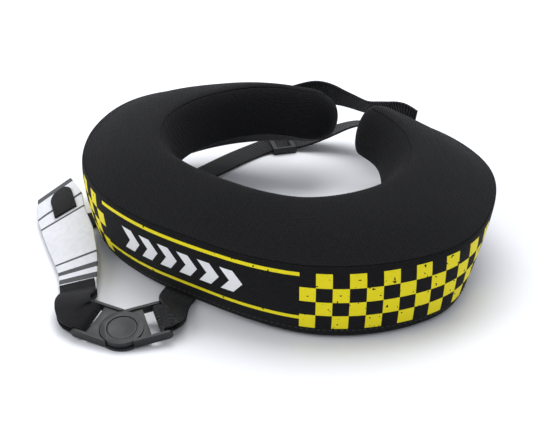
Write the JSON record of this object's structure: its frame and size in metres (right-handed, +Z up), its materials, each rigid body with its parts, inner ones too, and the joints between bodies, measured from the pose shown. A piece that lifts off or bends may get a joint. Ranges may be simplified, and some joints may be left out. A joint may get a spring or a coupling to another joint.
{
  "type": "motocross neck brace",
  "caption": "C-shaped padded neck collar in a knit cover, with a closure strap, an underarm strap loop, an elastic band and a round-button buckle.",
  "frame": {"origin": "middle of the footprint of the whole part, on the surface that it lies on", "axes": "+Z up through the neck hole, -Y towards the middle of the C and the buckle, +Y towards its mouth"},
  "size_m": [0.3318, 0.3386, 0.0802],
  "materials": {
    "knit_top": "fine diagonal knit, matt",
    "rib_knit": "rib knit with yellow and white print",
    "foam": "soft foam under the cover",
    "webbing": "ribbed black webbing",
    "elastic": "off-white elastic with grey stripes",
    "hook_loop": "fuzzy black hook and loop",
    "plastic": "dark grey moulded, satin"
  },
  "bodies": {
    "root": {"foam_core": "foam", "top_panel": "knit_top", "neck_band": "knit_top", "outer_band": "rib_knit", "base_panel": "rib_knit", "closure_strap": "webbing", "long_strap": "webbing", "buckle_webbing": "webbing", "elastic_band": "elastic", "band_tab": "hook_loop", "hook_loop_strap": "hook_loop", "strap_slider": "plastic", "buckle_tongue": "plastic", "buckle_socket": "plastic"},
    "button": {"release_button": "plastic"}
  },
  "joints": [
    {"name": "button_press", "type": "slide", "parent": "root", "child": "button", "axis": [0.09, -0.2172, 0.972], "range_m": [-0.0015, 0], "stiffness_N_per_m": 1500}
  ]
}
